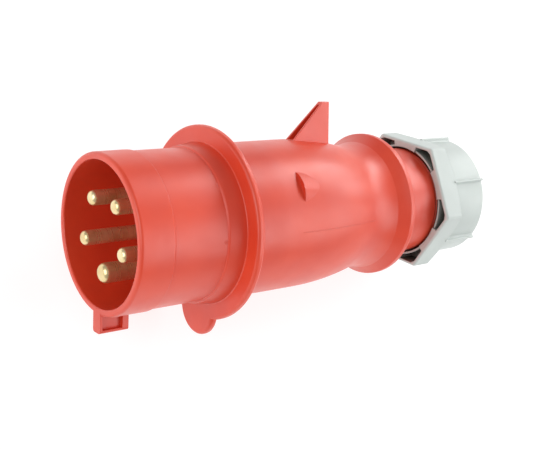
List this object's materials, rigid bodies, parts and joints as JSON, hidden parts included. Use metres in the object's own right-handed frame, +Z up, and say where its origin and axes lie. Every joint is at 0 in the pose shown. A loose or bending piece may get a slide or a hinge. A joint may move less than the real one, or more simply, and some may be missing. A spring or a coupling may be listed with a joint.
{
  "type": "industrial pin and sleeve plug",
  "caption": "Industrial plug: open sleeve with round contact pins, key under the lip, flange with a tab, finned grip housing and a hexagonal cable gland nut.",
  "frame": {"origin": "centre of the contact face, the floor of the sleeve from which the pins stand", "axes": "+X along the plug from the sleeve to the cable end, leaning down by 4.56 degrees because the plug lies on its flange and nut; +Z up from the bench"},
  "size_m": [0.1947, 0.0824, 0.0798],
  "materials": {
    "red_plastic": "satin moulded thermoplastic, evenly coloured",
    "grey_plastic": "satin moulded thermoplastic",
    "brass": "turned and polished",
    "carrier_plastic": "moulded thermoset, dull",
    "screw_steel": "zinc plated",
    "rubber": "dull soft rubber"
  },
  "bodies": {
    "plug": {"front_shell": "red_plastic", "housing": "red_plastic", "contact_carrier": "carrier_plastic", "pin_earth": "brass", "pin_line_1": "brass", "pin_line_2": "brass", "pin_line_3": "brass", "pin_neutral": "brass", "terminal_screw_earth_a": "screw_steel", "terminal_screw_earth_b": "screw_steel", "terminal_screw_line_1_a": "screw_steel", "terminal_screw_line_1_b": "screw_steel", "terminal_screw_line_2_a": "screw_steel", "terminal_screw_line_2_b": "screw_steel", "terminal_screw_line_3_a": "screw_steel", "terminal_screw_line_3_b": "screw_steel", "terminal_screw_neutral_a": "screw_steel", "terminal_screw_neutral_b": "screw_steel", "carrier_screw_a": "screw_steel", "carrier_screw_b": "screw_steel", "gland_seal": "rubber"},
    "clamp": {"clamp_ring": "grey_plastic"},
    "nut": {"gland_nut": "grey_plastic"}
  },
  "joints": [
    {"name": "clamp_travel", "type": "slide", "parent": "plug", "child": "clamp", "axis": [0.9968, 0, -0.0795], "range_m": [-0.00401, 0.00601]},
    {"name": "nut_turn", "type": "hinge", "parent": "clamp", "child": "nut", "pos_m": [0.12959, 0, -0.01033], "axis": [0.9968, 0, -0.0795], "range_deg": [-720, 1080]}
  ],
  "couplings": [
    {"joint": "clamp_travel", "follows": "nut_turn", "m_per_rad": 0.00031831}
  ]
}
